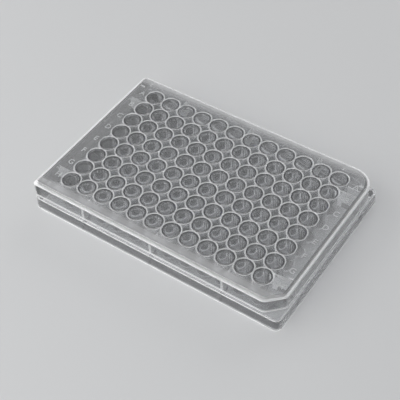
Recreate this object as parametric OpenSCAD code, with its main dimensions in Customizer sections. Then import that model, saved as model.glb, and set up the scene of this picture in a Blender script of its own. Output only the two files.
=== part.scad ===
// Well plate of clear plastic with a lid that rests over it.
// Millimetres. The origin is the centre of the footprint, on the surface that the skirt stands on.
// X runs along the rows of wells, Y along the columns, and Z up.

/* [Skirt] */
// Length of the footprint
plate_l = 127.76; // [126.5:0.01:129]
// Width of the footprint
plate_w = 85.48; // [84.5:0.01:86.5]
// Radius of the skirt's four upright corners
skirt_r = 3.1; // [2:0.1:4]
// Height of the ledge on top of the skirt
skirt_h = 6.4; // [5:0.1:8]
// Thickness of the skirt's wall
skirt_wall = 1.3; // [0.9:0.1:1.6]
// How far the skirt leans in from its foot to the ledge
skirt_draft = 0.25; // [0.05:0.05:0.5]
// Thickness of the ledge
ledge_t = 1.2; // [0.8:0.1:1.8]
// Bevel along the foot and the ledge
skirt_bevel = 0.3; // [0.1:0.05:0.4]

/* [Upper body] */
// Height of the shoulder that carries the lid
shoulder_z = 13.8; // [12:0.1:15]
// Thickness of the upper wall
upper_wall = 1.2; // [0.9:0.1:1.6]
// Rise of the deck above the shoulder
deck_rise = 0.5; // [0.3:0.1:0.6]
// Thickness of the deck
deck_t = 1.4; // [1:0.1:2]

/* [Wells] */
// Number of wells in a row
cols = 12; // [10:1:12]
// Number of wells in a column
rows = 8; // [6:1:8]
// Distance between the centres of neighbouring wells
pitch = 9; // [8.9:0.01:9.02]
// Diameter of a well at its mouth
mouth_d = 6.86; // [6.6:0.02:6.96]
// Diameter of a well at its floor
floor_d = 6.36; // [5.8:0.02:6.5]
// Depth of a well
well_depth = 10.9; // [9:0.1:11.4]
// Thickness of a well's floor
floor_t = 1.3; // [0.8:0.1:1.6]
// Outside diameter of a well at its foot
foot_d = 7.9; // [7.5:0.1:8.2]
// Bevel around a well's foot
foot_bevel = 0.4; // [0.1:0.05:0.5]
// Outside diameter of a well where it meets the deck
root_d = 8.3; // [8:0.1:8.6]
// Height of the rim around each mouth
rim_h = 0.2; // [0.1:0.05:0.3]
// Width of the rim on the deck
rim_w = 0.55; // [0.4:0.05:0.6]
// Width of the rim's flat top
rim_top_w = 0.2; // [0.1:0.05:0.3]

/* [Webs and ribs] */
// Thickness of the webs that join neighbouring wells
web_t = 1; // [0.7:0.1:1.3]
// Height of the webs' lower edge above the underside of the wells
web_lift = 1.3; // [0.8:0.1:4]
// Thickness of the ribs between the wells and the outer wall
rib_t = 0.9; // [0.7:0.1:1.3]
// Number of well pitches from the middle of a long side to its outer ribs
long_rib_pitches = 4; // [2:1:4]
// Number of well pitches from the middle of a short side to its ribs
short_rib_pitches = 3; // [1:1:3]

/* [Lid] */
// How far the lid's side stands in from the footprint
lid_inset = 0.63; // [0.4:0.01:0.9]
// Thickness of the lid's wall and of its step
lid_wall = 1.15; // [0.9:0.05:1.3]
// Clearance between the lid and the upper body
lid_gap = 0.35; // [0.2:0.05:0.5]
// Height of the lid's lower edge above the ledge
lid_lift = 1.6; // [0.8:0.1:2.5]
// Width of the step around the lid's raised top
step_w = 1.2; // [0.9:0.1:1.6]
// Height of the raised top above the step
riser_h = 1.25; // [0.95:0.05:1.6]
// Thickness of the raised top
top_t = 1.1; // [0.9:0.05:1.2]
// Bevel along the lid's outer edges
lid_bevel = 0.3; // [0.1:0.05:0.4]
// Radius of the two left corners
left_r = 1.7; // [1.6:0.1:4]
// Radius of the back right corner
round_r = 10.5; // [8:0.5:12]
// Length of the flat across the front right corner, along each side
flat_leg = 7; // [5:0.5:8]
// Rounding of the two ends of that flat
flat_r = 4; // [4:0.5:6]

/* [Condensation rings] */
// Inside diameter of a ring
ring_inner_d = 7.5; // [7.2:0.1:7.8]
// Space between neighbouring rings
ring_space = 0.1; // [0.05:0.05:0.5]
// How much each side of a ring leans in towards its lower edge
ring_draft = 0.1; // [0.05:0.05:0.15]
// Clearance between the rings and the rims of the wells
ring_gap = 0.15; // [0.1:0.05:0.25]

/* [Locating ribs] */
// Length of a locating rib, in from the lid's raised edge
stop_l = 2.4; // [2:0.2:3.8]
// Thickness of a locating rib
stop_t = 0.7; // [0.5:0.1:1]
// Distance of the locating ribs from the lid's left corners
stop_from_corner = 6.7; // [6:0.1:8]
// Distance of the left side's front locating rib from the lid's front side
stop_from_front = 4.1; // [3.4:0.1:8]
// How far the back side's locating rib stands before the wide round
stop_before_round = 4.6; // [1:0.1:8]
// How far the right side's locating rib stands past the start of the wide round
stop_past_round = 1.1; // [-4:0.1:1.2]
// How far the right side's front locating rib stands before the flat corner
stop_before_flat = 8.6; // [5:0.2:12]

/* [Hidden] */
$fn = 48;
over = 1;
bury = 0.2;
blunt_steps = 6;
tight_least = 0.5;

skirt_half = [plate_l, plate_w] / 2;
lid_half = [for (h = skirt_half) h - lid_inset];
upper_inset = lid_wall + lid_gap;
hollow_inset = upper_inset + upper_wall;
riser_inset = step_w;
cavity_inset = step_w + lid_wall;
deck_inset = cavity_inset + lid_gap;

deck_z = shoulder_z + deck_rise;
rim_z = deck_z + rim_h;
floor_z = rim_z - well_depth;
foot_z = floor_z - floor_t;
web_z = foot_z + web_lift;
deck_under_z = deck_z - deck_t;
lid_low_z = skirt_h + lid_lift;
step_z = shoulder_z + lid_wall;
top_z = step_z + riser_h;
top_under_z = top_z - top_t;
ring_z = rim_z + ring_gap;

block_half = [cols - 1, rows - 1] * pitch / 2;

function unit(v) = v / norm(v);

function turned(v, angle) = [v.x * cos(angle) - v.y * sin(angle), v.x * sin(angle) + v.y * cos(angle)];

// Points of an arc of radius r in the corner v of an outline that runs anticlockwise from a through v to b
function arc_points(v, a, b, r) =
    let (
        to_a = unit(a - v),
        to_b = unit(b - v),
        half = acos(to_a * to_b) / 2,
        centre = v + r / sin(half) * unit(to_a + to_b),
        start = v + r / tan(half) * to_a - centre,
        turn = 180 - 2 * half
    )
    [for (k = [0 : blunt_steps]) centre + turned(start, turn * k / blunt_steps)];

// What lies outside an arc of radius r in the square corner v of a plan round the origin
module corner_waste(v, r) {
    outward = [sign(v.x), sign(v.y)];
    centre = v - r * outward;
    difference() {
        translate(centre + (r + over) / 2 * outward) square(r + over, center = true);
        translate(centre) circle(r);
    }
}

// Plan of the skirt, set in from the footprint
module skirt_plan(inset) {
    h = skirt_half - [inset, inset];
    r = max(skirt_r - inset, tight_least);
    difference() {
        square(2 * h, center = true);
        for (x = [-h.x, h.x], y = [-h.y, h.y]) corner_waste([x, y], r);
    }
}

// Plan of the lid, set in from its outside: two tight left corners, one flat and one wide round
module body_plan(inset) {
    h = lid_half - [inset, inset];
    leg = flat_leg - (2 - sqrt(2)) * inset;
    tight = max(left_r - inset, tight_least);
    blunt = flat_r - inset;
    front = [h.x - leg, -h.y];
    side = [h.x, leg - h.y];
    difference() {
        polygon(concat(
            [[-h.x, -h.y]],
            arc_points(front, [-h.x, -h.y], side, blunt),
            arc_points(side, front, h, blunt),
            [h, [-h.x, h.y]]
        ));
        corner_waste([-h.x, -h.y], tight);
        corner_waste([-h.x, h.y], tight);
        corner_waste(h, round_r - inset);
    }
}

// A slab between two heights
module slab(z0, z1) {
    translate([0, 0, z0]) linear_extrude(z1 - z0) children();
}

// A slab of the lid's plan whose upper edge is bevelled
module bevelled_body(inset, z0, z1) {
    hull() {
        slab(z0, z1 - lid_bevel) body_plan(inset);
        slab(z0, z1) body_plan(inset + lid_bevel);
    }
}

// Repeats its children at every well
module at_wells() {
    for (i = [0 : cols - 1], j = [0 : rows - 1])
        translate([i * pitch - block_half.x, j * pitch - block_half.y, 0]) children();
}

// The open-bottomed skirt with its ledge, leaning in slightly between its bevels
module skirt() {
    difference() {
        hull() {
            slab(0, skirt_h) skirt_plan(skirt_draft + skirt_bevel);
            slab(0, skirt_bevel) skirt_plan(skirt_bevel);
            slab(skirt_bevel, 2 * skirt_bevel) skirt_plan(0);
            slab(skirt_bevel, skirt_h - skirt_bevel) skirt_plan(skirt_draft);
        }
        slab(-over, skirt_h - ledge_t) skirt_plan(skirt_wall);
        slab(-over, skirt_h + over) body_plan(hollow_inset);
    }
}

// The wall above the ledge, its shoulder and the deck
module upper_body() {
    difference() {
        slab(skirt_h - ledge_t, shoulder_z) body_plan(upper_inset);
        slab(0, deck_under_z) body_plan(hollow_inset);
    }
    slab(deck_under_z, deck_z) body_plan(deck_inset);
}

// Outside of one well, from its bevelled foot up through the deck to its rim
module well_outside() {
    mouth_r = mouth_d / 2;
    rotate_extrude()
        polygon([
            [0, foot_z],
            [foot_d / 2 - foot_bevel, foot_z],
            [foot_d / 2, foot_z + foot_bevel],
            [root_d / 2, deck_under_z],
            [mouth_r + rim_w, deck_z],
            [mouth_r + rim_top_w, rim_z],
            [0, rim_z]
        ]);
}

// Outside of the wells and the webs between them
module well_block() {
    at_wells() well_outside();
    for (j = [0 : rows - 1])
        translate([0, j * pitch - block_half.y, (web_z + deck_z - bury) / 2])
            cube([2 * block_half.x, web_t, deck_z - bury - web_z], center = true);
    for (i = [0 : cols - 1])
        translate([i * pitch - block_half.x, 0, (web_z + deck_z - bury) / 2])
            cube([web_t, 2 * block_half.y, deck_z - bury - web_z], center = true);
}

// A rib along +X from the edge of the well block out to the upper wall, and below the ledge to the skirt
module rib(edge, half) {
    z0 = web_z;
    wall = lid_inset + upper_inset + upper_wall / 2;
    translate([edge, -rib_t / 2, skirt_h - ledge_t / 2])
        cube([half - wall - edge, rib_t, deck_under_z + bury - skirt_h + ledge_t / 2]);
    translate([edge, -rib_t / 2, z0])
        cube([half - skirt_wall + bury - edge, rib_t, skirt_h - ledge_t / 2 - z0]);
}

// The ribs on all four sides
module ribs() {
    for (side = [0, 1], i = [-1, 0, 1])
        mirror([0, side, 0])
            translate([i * long_rib_pitches * pitch, 0, 0])
                rotate([0, 0, 90]) rib(block_half.y, skirt_half.y);
    for (side = [0, 1], j = [-1, 1])
        mirror([side, 0, 0])
            translate([0, j * short_rib_pitches * pitch, 0]) rib(block_half.x, skirt_half.x);
}

module plate() {
    color([0.82, 0.84, 0.86, 0.5])
    difference() {
        union() {
            skirt();
            upper_body();
            well_block();
            ribs();
        }
        at_wells() translate([0, 0, floor_z]) cylinder(h = well_depth, d1 = floor_d, d2 = mouth_d);
    }
}

// The lid's walls, step and raised top, open below
module lid_shell() {
    difference() {
        union() {
            bevelled_body(0, lid_low_z, step_z);
            bevelled_body(riser_inset, lid_low_z, top_z);
        }
        slab(lid_low_z - over, shoulder_z) body_plan(lid_wall);
        slab(lid_low_z - over, top_under_z) body_plan(cavity_inset);
    }
}

// One ring, narrower at its lower edge
module ring() {
    inner_r = ring_inner_d / 2;
    outer_r = (pitch - ring_space) / 2;
    rotate_extrude()
        polygon([
            [inner_r + ring_draft, ring_z],
            [outer_r - ring_draft, ring_z],
            [outer_r, top_under_z],
            [outer_r, top_under_z + bury],
            [inner_r, top_under_z + bury],
            [inner_r, top_under_z]
        ]);
}

// The rings that keep drops from running from well to well
module rings() {
    at_wells() ring();
}

// One locating rib under the raised top, running in from the edge at x = 0 along +Y
module stop() {
    translate([-stop_t / 2, cavity_inset - bury, ring_z])
        cube([stop_t, stop_l + bury, top_under_z + bury - ring_z]);
}

// The locating ribs: one on each side of the left corners and the round one, and one before the flat corner
module stops() {
    left_x = stop_from_corner - lid_half.x;
    round_x = lid_half.x - round_r - stop_before_round;
    left_ys = [stop_from_front - lid_half.y, lid_half.y - stop_from_corner];
    right_ys = [flat_leg + stop_before_flat - lid_half.y, lid_half.y - round_r + stop_past_round];
    translate([left_x, -lid_half.y, 0]) stop();
    for (x = [left_x, round_x]) translate([x, lid_half.y, 0]) rotate([0, 0, 180]) stop();
    for (y = left_ys) translate([-lid_half.x, y, 0]) rotate([0, 0, -90]) stop();
    for (y = right_ys) translate([lid_half.x, y, 0]) rotate([0, 0, 90]) stop();
}

module lid() {
    color([0.9, 0.92, 0.94, 0.4]) {
        lid_shell();
        rings();
        stops();
    }
}

plate();
lid();
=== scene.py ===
"""The looks of a clear well plate with its lid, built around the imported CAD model. Metres, Z up."""

import math

import bmesh
import bpy
from mathutils import Matrix, Vector


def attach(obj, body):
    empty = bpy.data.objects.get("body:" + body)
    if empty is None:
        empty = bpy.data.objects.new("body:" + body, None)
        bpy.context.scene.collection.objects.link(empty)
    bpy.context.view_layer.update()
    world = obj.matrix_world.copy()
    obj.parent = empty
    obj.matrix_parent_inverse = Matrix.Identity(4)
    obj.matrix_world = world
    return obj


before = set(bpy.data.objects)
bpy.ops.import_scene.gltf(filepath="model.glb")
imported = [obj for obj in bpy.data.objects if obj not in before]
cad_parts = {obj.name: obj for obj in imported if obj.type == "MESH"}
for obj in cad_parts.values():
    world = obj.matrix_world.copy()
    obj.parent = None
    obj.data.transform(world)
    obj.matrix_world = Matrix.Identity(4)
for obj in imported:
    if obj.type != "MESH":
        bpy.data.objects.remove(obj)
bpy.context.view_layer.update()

MM = 0.001

# Camera: where it looks, from which side, and how long its lens is
LOOK_AT = Vector((-3.13, 0.22, 0.0)) * MM
DISTANCE = 441.4 * MM
AZIMUTH = math.radians(36.37)
ELEVATION = math.radians(47.87)
ROLL = math.radians(-2.95)
LENS_MM = 88.12
NEAREST, FARTHEST = 0.01, 20.0

# The wells and the ribs beside them, as in part.scad
COLS, ROWS, PITCH = 12, 8, 9.0 * MM
BLOCK_HALF_X, BLOCK_HALF_Y = COLS * PITCH / 2, ROWS * PITCH / 2
LONG_RIB_PITCHES, SHORT_RIB_PITCHES = 4, 3
RIB_HALF = 0.55 * MM
DECK_Z = 14.3 * MM

# How level a face is, from 0 for upright to 1 for flat: where each kind begins, and where it is full
UPRIGHT_LEVELS = (0.5, 0.3)
FLAT_LEVELS = (0.93, 0.98)

# Where the looks change along the length: the left wall, and the column of wells nearest to it, which get
# painted shade
LEFT_WALL_X = -60.0 * MM
LEFT_WELLS_X = -50.5 * MM

# Where the plate's looks change with height. A band has a low end, a high end and the softness of both.
HEM_TOP = 0.9 * MM
FOOT_BAND = (2.25 * MM, 3.5 * MM, 0.05 * MM)
FLOOR_TOP = 3.7 * MM
SKIRT_TOP = 6.3 * MM
LOW_RIB_TOP = 6.4 * MM
RIB_BAND = (6.5 * MM, 13.5 * MM, 0.1 * MM)
WEB_TOP = 12.8 * MM
RIM_LOW = 14.28 * MM

# Where the plate's looks change with the distance from the centre of a well
FLOOR_EDGE = (3.4 * MM, 3.2 * MM)
INSIDE_EDGE = (3.7 * MM, 3.6 * MM)
RIM_WIDTH = (3.4 * MM, 4.05 * MM, 0.03 * MM)
WEB_START = 4.22 * MM
BETWEEN_EDGE = (4.9 * MM, 5.3 * MM)

# Where the lid's looks change with height
LOWER_EDGE_TOP = 8.5 * MM
STOP_BAND = (14.4 * MM, 15.09 * MM, 0.005 * MM)
STEP_BAND = (14.9 * MM, 15.0 * MM, 0.01 * MM)
RISER_LOW = 14.9 * MM
RING_TOP = 15.12 * MM
TOP_LOW = 16.1 * MM

# Where the lid's looks change with the distance from the centre of a well: a ring's two sides
RING_INNER = (3.45 * MM, 4.0 * MM, 0.05 * MM)
RING_OUTER = (4.2 * MM, 4.75 * MM, 0.05 * MM)

# Where the lid's looks change with the distance from its middle
STOP_REACH_X, STOP_REACH_Y = 60.7 * MM, 39.6 * MM
MARGIN_START_X = (52.5 * MM, 56.5 * MM)
MARGIN_START_Y = (34.5 * MM, 38.5 * MM)
BACK_EDGE_Y = 39.5 * MM
LEFT_EDGE_X = -60.5 * MM

# Clear plastic: how much light its faces let through. The darkest tints are painted shade and the white
# one is painted highlight, not the plastic's own colour.
IOR_POLYSTYRENE = 1.59
CLEARNESS = 0.97
FLAT_TINT = (0.76, 0.765, 0.77)
WALL_TINT = (0.85, 0.855, 0.86)
OUTER_TINT = (0.65, 0.655, 0.66)
# Painted shade: the skirt below the ledge is much darker than the plastic
SKIRT_PAINTED_SHADE = (0.3, 0.303, 0.306)
# Painted shade: the left wall and the left column of wells darker
LEFT_PAINTED_SHADE = (0.25, 0.253, 0.256)
# Painted highlight: the white tint of edges, ribs, feet, webs and the rings' outer sides
EDGE_PAINTED_HIGHLIGHT = (1.0, 1.0, 1.0)
# Painted shade: black on the inner sides of the lid's rings, a dark ring round each well
RING_PAINTED_SHADE = (0.0, 0.0, 0.001)
# Painted shade: dark on the rims of the wells' mouths
MOUTH_PAINTED_SHADE = (0.25, 0.253, 0.256)
# Painted shade: darker on the deck between four wells
BETWEEN_PAINTED_SHADE = (0.45, 0.455, 0.46)
INSIDE_TINT = (0.8, 0.805, 0.81)
# Painted shade: nearly black on the wells' floors, a dark disc in each well
WELL_FLOOR_PAINTED_SHADE = (0.03, 0.031, 0.032)

# Clear plastic: how much of its clearness a place loses to haze. The white haze is painted highlight on
# the step, edges, ribs, webs, feet, bores and rings, and painted sheen on the top's margin.
STEP_HIGHLIGHT_HAZE = 0.3
FAR_EDGE_HIGHLIGHT_HAZE = 0.85
BORE_HIGHLIGHT_HAZE = 0.03
RIB_HIGHLIGHT_HAZE = 0.7
# Painted sheen: the top's margin hazier near the long sides, and less at the ends
MARGIN_SHEEN_HAZE = 0.3
SHEEN_AT_ENDS = 0.4
WEB_HIGHLIGHT_HAZE = 0.9
EDGE_HIGHLIGHT_HAZE = 0.15
FOOT_HIGHLIGHT_HAZE = 0.9
FAINT_HIGHLIGHT_HAZE = 0.3
RING_HIGHLIGHT_HAZE = 0.33

# Clear plastic: how rough it is where it is polished, and what marks and dull edges add
POLISHED = 0.02
MARKS_ADD = 0.05
DULL_ADDS = 0.5

# What lamps shine through: the walls dim their light little, and the plate's flat faces most
THROUGH_WALLS = (0.98, 0.98, 0.985)
THROUGH_PLATE_FLATS = (0.42, 0.423, 0.426)
THROUGH_LID_FLATS = (0.95, 0.955, 0.96)

# The rows' letters, in from both ends of the deck
LETTER_XS = (-57.0 * MM, 57.9 * MM)
LETTER_SIZE = 4.0 * MM
LETTER_RISE = 0.1 * MM
LETTER_MERGE = 0.001 * MM
LETTER_TINTS = ((0.85, 0.86, 0.87), (0.95, 0.96, 0.97))
LETTER_CLEARNESS = 0.55
LETTER_ROUGHNESS = 0.3

# The studio
STUDIO_SIZE = 6.0
STUDIO_FLOOR_Z = -0.2 * MM
STUDIO_FLOOR_COLOUR = (0.63, 0.635, 0.64, 1.0)
STUDIO_FLOOR_ROUGHNESS = 0.6
SKY_COLOUR = (0.8, 0.82, 0.85, 1.0)
SKY_STRENGTH = 0.15


def aim(azimuth, elevation):
    """The direction from the plate to something seen at this azimuth, from the front, and elevation."""
    return Vector(
        (
            math.sin(azimuth) * math.cos(elevation),
            -math.cos(azimuth) * math.cos(elevation),
            math.sin(elevation),
        )
    )


def make_camera():
    back = aim(AZIMUTH, ELEVATION)
    level = Vector((math.cos(AZIMUTH), math.sin(AZIMUTH), 0.0))
    rise = back.cross(level)
    right = level * math.cos(ROLL) + rise * math.sin(ROLL)
    up = rise * math.cos(ROLL) - level * math.sin(ROLL)
    camera = bpy.data.objects.new("camera", bpy.data.cameras.new("camera"))
    camera.data.lens = LENS_MM
    camera.data.clip_start = NEAREST
    camera.data.clip_end = FARTHEST
    camera.matrix_world = Matrix.Translation(LOOK_AT + back * DISTANCE) @ (
        Matrix((right, up, back)).transposed().to_4x4()
    )
    bpy.context.scene.collection.objects.link(camera)
    bpy.context.scene.camera = camera


class Tree:
    """A short way to write a node tree. A mask is a value that is 1 in some place and 0 elsewhere."""

    def __init__(self, owner):
        owner.use_nodes = True
        self.tree = owner.node_tree
        self.tree.nodes.clear()

    def node(self, kind, **settings):
        made = self.tree.nodes.new(kind)
        for name, value in settings.items():
            setattr(made, name, value)
        return made

    def put(self, socket, value):
        if isinstance(value, bpy.types.NodeSocket):
            self.tree.links.new(value, socket)
        else:
            socket.default_value = value

    def set(self, node, **inputs):
        for name, value in inputs.items():
            self.put(node.inputs[name.replace("_", " ")], value)
        return node

    def math(self, operation, *values):
        made = self.node("ShaderNodeMath", operation=operation)
        for socket, value in zip(made.inputs, values):
            self.put(socket, value)
        return made.outputs[0]

    def below(self, value, limit):
        return self.math("LESS_THAN", value, limit)

    def above(self, value, limit):
        return self.math("GREATER_THAN", value, limit)

    def without(self, mask):
        """1 where the mask is 0."""
        return self.math("SUBTRACT", 1.0, mask)

    def times(self, *values):
        """The product of several values. Of masks, it is where all of them are 1."""
        product = values[0]
        for value in values[1:]:
            product = self.math("MULTIPLY", product, value)
        return product

    def most(self, *values):
        """The greatest of several values. Of masks, it is where any of them is 1."""
        greatest = values[0]
        for value in values[1:]:
            greatest = self.math("MAXIMUM", greatest, value)
        return greatest

    def ramp(self, value, low, high):
        """0 below low and 1 above high, with a smooth step between; high may be the smaller one."""
        made = self.node("ShaderNodeMapRange", interpolation_type="SMOOTHSTEP")
        self.set(made, Value=value, From_Min=low, From_Max=high)
        return made.outputs[0]

    def band(self, value, low, high, soft):
        """1 between low and high and 0 outside."""
        rising = self.ramp(value, low - soft, low + soft)
        falling = self.ramp(value, high + soft, high - soft)
        return self.times(rising, falling)

    def blend(self, share, below, above):
        """The colour below where share is 0, and the colour above where it is 1."""
        made = self.node("ShaderNodeMix", data_type="RGBA")
        self.put(made.inputs[0], share)
        for socket, colour in ((made.inputs[6], below), (made.inputs[7], above)):
            self.put(socket, colour if isinstance(colour, bpy.types.NodeSocket) else (*colour, 1.0))
        return made.outputs[2]


class Place:
    """Where a point of the surface is on the plate, and which way the surface faces there."""

    def __init__(self, t):
        self.coordinates = t.node("ShaderNodeTexCoord").outputs["Object"]
        here = t.node("ShaderNodeSeparateXYZ")
        t.set(here, Vector=self.coordinates)
        self.x, self.y, self.z = here.outputs
        self.from_middle = [t.math("ABSOLUTE", value) for value in (self.x, self.y)]
        self.on_left_wall = t.below(self.x, LEFT_WALL_X)
        self.in_block = self.within(t, BLOCK_HALF_X, BLOCK_HALF_Y)
        self.outside = t.without(self.in_block)

        # The wells' centres lie half a pitch off the middle, so the fraction of a pitch is a half there
        squares = []
        for value in (self.x, self.y):
            pitches = t.math("DIVIDE", value, PITCH)
            away = t.times(t.math("SUBTRACT", t.math("FRACT", pitches), 0.5), PITCH)
            squares.append(t.times(away, away))
        self.from_well = t.math("SQRT", t.math("ADD", *squares))

        facing = t.node("ShaderNodeSeparateXYZ")
        t.set(facing, Vector=t.node("ShaderNodeNewGeometry").outputs["True Normal"])
        level = t.math("ABSOLUTE", facing.outputs["Z"])
        self.upright = t.ramp(level, *UPRIGHT_LEVELS)
        self.flat = t.ramp(level, *FLAT_LEVELS)
        self.not_flat = t.without(self.flat)
        self.slanted = t.math("SUBTRACT", self.not_flat, self.upright)

    def within(self, t, half_x, half_y):
        """1 inside a rectangle around the middle, seen from above."""
        x, y = self.from_middle
        return t.times(t.below(x, half_x), t.below(y, half_y))

    def on_ribs(self, t):
        """1 where the ribs stand between the wells and the outer wall."""
        x, y = self.from_middle
        middle = t.below(x, RIB_HALF)
        outer = t.below(t.math("ABSOLUTE", t.math("SUBTRACT", x, LONG_RIB_PITCHES * PITCH)), RIB_HALF)
        long_sides = t.times(t.most(middle, outer), t.above(y, BLOCK_HALF_Y))
        ends = t.below(t.math("ABSOLUTE", t.math("SUBTRACT", y, SHORT_RIB_PITCHES * PITCH)), RIB_HALF)
        short_sides = t.times(ends, t.above(x, BLOCK_HALF_X))
        return t.most(long_sides, short_sides)


def clear_plastic(name, looks, through_flats):
    """Clear moulded plastic. looks(tree, place) gives its colour with painted shade, how hazy it is with
    painted highlight, and where it is dull.
    """
    material = bpy.data.materials.new(name)
    t = Tree(material)
    place = Place(t)
    colour, haze, dull = looks(t, place)

    # Moulding flow: long soft waves that bend reflections a little
    flow = t.set(t.node("ShaderNodeTexNoise"), Vector=place.coordinates, Scale=60.0, Detail=2.0)
    bump = t.set(t.node("ShaderNodeBump"), Strength=0.01, Distance=0.0001, Height=flow.outputs["Fac"])

    # Handling marks: faint patches of rougher surface
    marks = t.set(t.node("ShaderNodeTexNoise"), Vector=place.coordinates, Scale=140.0, Detail=6.0)
    rough = t.node("ShaderNodeMapRange")
    t.set(rough, Value=marks.outputs["Fac"], From_Min=0.35, From_Max=0.75)
    t.set(rough, To_Min=POLISHED, To_Max=POLISHED + MARKS_ADD)

    plastic = t.node("ShaderNodeBsdfPrincipled")
    t.set(
        plastic,
        Base_Color=colour,
        IOR=IOR_POLYSTYRENE,
        Transmission_Weight=t.math("SUBTRACT", CLEARNESS, haze),
        Roughness=t.math("ADD", rough.outputs["Result"], t.times(dull, DULL_ADDS)),
        Normal=bump.outputs["Normal"],
    )

    # Lamps shine straight through, dimmed by what they pass: walls or flat faces
    dimming = t.blend(place.flat, THROUGH_WALLS, through_flats)
    through = t.set(t.node("ShaderNodeBsdfTransparent"), Color=dimming)
    path = t.node("ShaderNodeLightPath")
    mix = t.node("ShaderNodeMixShader")
    chosen = (path.outputs["Is Shadow Ray"], plastic.outputs[0], through.outputs[0])
    for socket, value in zip(mix.inputs, chosen):
        t.put(socket, value)
    t.set(t.node("ShaderNodeOutputMaterial"), Surface=mix.outputs[0])
    return material


def plate_looks(t, place):
    """Colour, haze and dullness of the plate.

    The skirt, the left wall and the left wells are darkened with painted shade, and so are the wells'
    floors, the deck between the wells and the rims of their mouths. The webs, the wells' feet, the ribs
    and the slanted edges are hazy and white as painted highlights.
    """
    ribs = place.on_ribs(t)
    rib = t.times(ribs, t.band(place.z, *RIB_BAND))
    low_rib = t.times(ribs, t.below(place.z, LOW_RIB_TOP))
    hem = t.below(place.z, HEM_TOP)
    edge = t.most(place.slanted, hem, rib)
    foot = t.times(t.band(place.z, *FOOT_BAND), place.in_block, place.not_flat)
    off_wells = t.times(t.above(place.from_well, WEB_START), place.in_block)
    web = t.times(off_wells, place.upright, t.below(place.z, WEB_TOP))
    inside = t.times(t.ramp(place.from_well, *INSIDE_EDGE), place.in_block)
    over_floor = t.times(t.ramp(place.from_well, *FLOOR_EDGE), place.in_block)
    floor = t.times(over_floor, place.flat, t.below(place.z, FLOOR_TOP))
    between = t.times(t.ramp(place.from_well, *BETWEEN_EDGE), place.in_block, place.flat)
    left_wells = t.times(t.below(place.x, LEFT_WELLS_X), place.in_block, place.upright)
    on_rim = t.times(t.band(place.from_well, *RIM_WIDTH), place.in_block)
    rim = t.times(on_rim, t.above(place.z, RIM_LOW))

    # Painted shade: the left wall darker
    walls = t.blend(place.on_left_wall, OUTER_TINT, LEFT_PAINTED_SHADE)
    # Painted shade: the skirt darker
    walls = t.blend(t.below(place.z, SKIRT_TOP), walls, SKIRT_PAINTED_SHADE)
    colour = t.blend(place.upright, FLAT_TINT, t.blend(place.outside, WALL_TINT, walls))
    # Painted shade: the deck between the wells darker
    colour = t.blend(between, colour, BETWEEN_PAINTED_SHADE)
    colour = t.blend(inside, colour, INSIDE_TINT)
    # Painted shade: the left wells darker
    colour = t.blend(left_wells, colour, LEFT_PAINTED_SHADE)
    # Painted shade: the wells' floors nearly black
    colour = t.blend(floor, colour, WELL_FLOOR_PAINTED_SHADE)
    # Painted highlight: white on the edges, feet and webs
    bright = t.most(edge, foot, web)
    colour = t.blend(bright, colour, EDGE_PAINTED_HIGHLIGHT)
    # Painted shade: the mouths' rims dark
    colour = t.blend(rim, colour, MOUTH_PAINTED_SHADE)

    # Painted highlight: white haze on edges, ribs, feet, bores and webs
    haze = t.most(
        t.times(edge, EDGE_HIGHLIGHT_HAZE),
        t.times(rib, RIB_HIGHLIGHT_HAZE),
        t.times(foot, FOOT_HIGHLIGHT_HAZE),
        t.times(low_rib, FAINT_HIGHLIGHT_HAZE),
        t.times(inside, place.upright, BORE_HIGHLIGHT_HAZE),
        t.times(web, WEB_HIGHLIGHT_HAZE),
    )
    off_rim = t.without(rim)
    return colour, t.times(haze, off_rim), t.times(bright, off_rim)


def lid_looks(t, place):
    """Colour, haze and dullness of the lid.

    The left wall and the rings' inner sides are darkened with painted shade. The step, the edges, the
    rings' outer sides and the locating ribs are hazy and white as painted highlights, the back and left
    edges most, and the top's margin is hazy as a painted sheen.
    """
    step_top = t.times(place.flat, t.band(place.z, *STEP_BAND))
    riser = t.times(place.not_flat, t.above(place.z, RISER_LOW))
    lower_edge = t.below(place.z, LOWER_EDGE_TOP)
    edge = t.times(t.most(step_top, riser, lower_edge, place.slanted), place.outside)
    far = t.most(t.above(place.y, BACK_EDGE_Y), t.below(place.x, LEFT_EDGE_X))
    stop = t.times(t.band(place.z, *STOP_BAND), place.within(t, STOP_REACH_X, STOP_REACH_Y))
    # Painted sheen: the top's margin hazier near the long sides, less at the ends
    x, y = place.from_middle
    at_ends = t.times(t.ramp(x, *MARGIN_START_X), SHEEN_AT_ENDS)
    near_edge = t.most(at_ends, t.ramp(y, *MARGIN_START_Y))
    margin = t.times(place.flat, t.above(place.z, TOP_LOW), near_edge)
    ring = t.times(place.in_block, t.below(place.z, RING_TOP))
    ring_outer = t.times(ring, t.band(place.from_well, *RING_OUTER))
    ring_inner = t.times(ring, t.band(place.from_well, *RING_INNER))

    # Painted shade: the lid's left wall darker
    walls = t.blend(place.on_left_wall, OUTER_TINT, LEFT_PAINTED_SHADE)
    colour = t.blend(place.upright, FLAT_TINT, walls)
    # Painted highlight: white on the edges and the rings' outer sides
    colour = t.blend(t.most(edge, ring_outer), colour, EDGE_PAINTED_HIGHLIGHT)
    # Painted shade: the rings' inner sides black
    colour = t.blend(ring_inner, colour, RING_PAINTED_SHADE)

    # Painted highlight and painted sheen: white haze on the step, edges, rings and locating ribs, and on
    # the top's margin
    haze = t.most(
        t.times(step_top, place.outside, STEP_HIGHLIGHT_HAZE),
        t.times(edge, EDGE_HIGHLIGHT_HAZE),
        t.times(edge, far, FAR_EDGE_HIGHLIGHT_HAZE),
        t.times(ring_outer, RING_HIGHLIGHT_HAZE),
        t.times(stop, place.outside, FAINT_HIGHLIGHT_HAZE),
        t.times(margin, MARGIN_SHEEN_HAZE),
    )
    return colour, haze, edge


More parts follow.
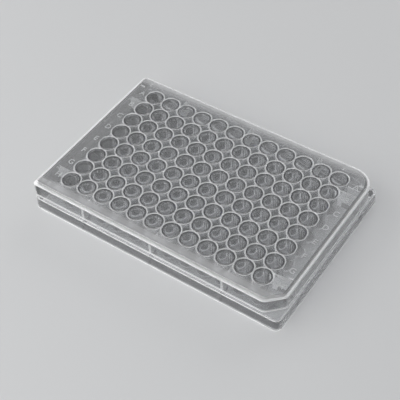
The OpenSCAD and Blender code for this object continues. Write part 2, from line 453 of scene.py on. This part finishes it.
def dress(node, material):
    """Give a CAD node its material."""
    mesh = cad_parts[node].data
    mesh.materials.clear()
    mesh.materials.append(material)


def letter_plastic():
    """The moulded letters' plastic: paler than the plate, and only half clear."""
    material = bpy.data.materials.new("letter_plastic")
    t = Tree(material)
    coordinates = t.node("ShaderNodeTexCoord").outputs["Object"]
    grain = t.set(t.node("ShaderNodeTexNoise"), Vector=coordinates, Scale=900.0)
    shade = t.blend(grain.outputs["Fac"], *LETTER_TINTS)
    plastic = t.set(t.node("ShaderNodeBsdfPrincipled"), Base_Color=shade, Roughness=LETTER_ROUGHNESS)
    t.set(plastic, IOR=IOR_POLYSTYRENE, Transmission_Weight=LETTER_CLEARNESS)
    t.set(t.node("ShaderNodeOutputMaterial"), Surface=plastic.outputs[0])
    return material


def make_letters():
    """The rows' letters A to H on both ends of the deck, as raised in the moulding."""
    letters = bmesh.new()
    for row in range(ROWS):
        for x in LETTER_XS:
            curve = bpy.data.curves.new("letter", "FONT")
            curve.body = chr(ord("A") + row)
            curve.align_x = curve.align_y = "CENTER"
            curve.size = LETTER_SIZE
            curve.extrude = LETTER_RISE / 2
            outline = bpy.data.objects.new("letter", curve)
            shape = bpy.data.meshes.new_from_object(outline)
            y = ((ROWS - 1) / 2 - row) * PITCH
            shape.transform(Matrix.Translation((x, y, DECK_Z + LETTER_RISE / 2)))
            letters.from_mesh(shape)
            bpy.data.objects.remove(outline)
            bpy.data.curves.remove(curve)
    bmesh.ops.remove_doubles(letters, verts=letters.verts, dist=LETTER_MERGE)
    mesh = bpy.data.meshes.new("row_letters")
    letters.to_mesh(mesh)
    letters.free()
    mesh.materials.append(letter_plastic())
    thing = bpy.data.objects.new("row_letters", mesh)
    bpy.context.scene.collection.objects.link(thing)
    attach(thing, "root")


def make_floor():
    """A plain pale floor that keeps the plate's shadow."""
    half, z = STUDIO_SIZE / 2, STUDIO_FLOOR_Z
    corners = [(-half, -half, z), (half, -half, z), (half, half, z), (-half, half, z)]
    mesh = bpy.data.meshes.new("floor")
    mesh.from_pydata(corners, [], [(0, 1, 2, 3)])
    material = bpy.data.materials.new("pale_floor")
    t = Tree(material)
    paint = t.node("ShaderNodeBsdfPrincipled")
    t.set(paint, Base_Color=STUDIO_FLOOR_COLOUR, Roughness=STUDIO_FLOOR_ROUGHNESS)
    t.set(t.node("ShaderNodeOutputMaterial"), Surface=paint.outputs[0])
    mesh.materials.append(material)
    floor = bpy.data.objects.new("floor", mesh)
    bpy.context.scene.collection.objects.link(floor)


def make_world():
    world = bpy.data.worlds.new("studio")
    bpy.context.scene.world = world
    t = Tree(world)
    sky = t.set(t.node("ShaderNodeBackground"), Color=SKY_COLOUR, Strength=SKY_STRENGTH)
    t.set(t.node("ShaderNodeOutputWorld"), Surface=sky.outputs[0])


def softbox(name, azimuth, elevation, distance, size, radiance, mirrored=True):
    """A rectangular lamp aimed at the plate. Azimuth is counted as the camera's is.

    A lamp that isn't mirrored gives light, but no picture of itself in the gloss.
    """
    away = aim(math.radians(azimuth), math.radians(elevation))
    lamp = bpy.data.lights.new(name, "AREA")
    lamp.shape = "RECTANGLE"
    lamp.size, lamp.size_y = size
    lamp.energy = radiance * math.pi * size[0] * size[1]
    thing = bpy.data.objects.new(name, lamp)
    thing.location = away * distance
    thing.rotation_mode = "QUATERNION"
    thing.rotation_quaternion = away.to_track_quat("Z", "Y")
    thing.visible_camera = False
    thing.visible_glossy = mirrored
    bpy.context.scene.collection.objects.link(thing)


def make_lights():
    softbox("overhead", azimuth=0.0, elevation=85.0, distance=1.3, size=(1.0, 0.8), radiance=2.45)
    softbox("sheen", azimuth=216.0, elevation=46.0, distance=1.2, size=(0.8, 0.6), radiance=0.3)
    softbox(
        "front", azimuth=-28.0, elevation=33.0, distance=1.0, size=(1.5, 0.7), radiance=2.2, mirrored=False
    )
    softbox("left", azimuth=270.0, elevation=30.0, distance=1.1, size=(0.9, 0.6), radiance=1.3)
    softbox("back", azimuth=180.0, elevation=25.0, distance=1.1, size=(0.9, 0.6), radiance=1.5)


make_camera()
make_floor()
make_world()
make_lights()
dress("plate", clear_plastic("clear_plate", plate_looks, THROUGH_PLATE_FLATS))
dress("lid", clear_plastic("clear_lid", lid_looks, THROUGH_LID_FLATS))
make_letters()

# Light passes many clear faces before it reaches the floor
scene = bpy.context.scene
scene.view_settings.view_transform = "Standard"
scene.cycles.max_bounces = 24
scene.cycles.transmission_bounces = 24
scene.cycles.glossy_bounces = 8
scene.cycles.transparent_max_bounces = 24
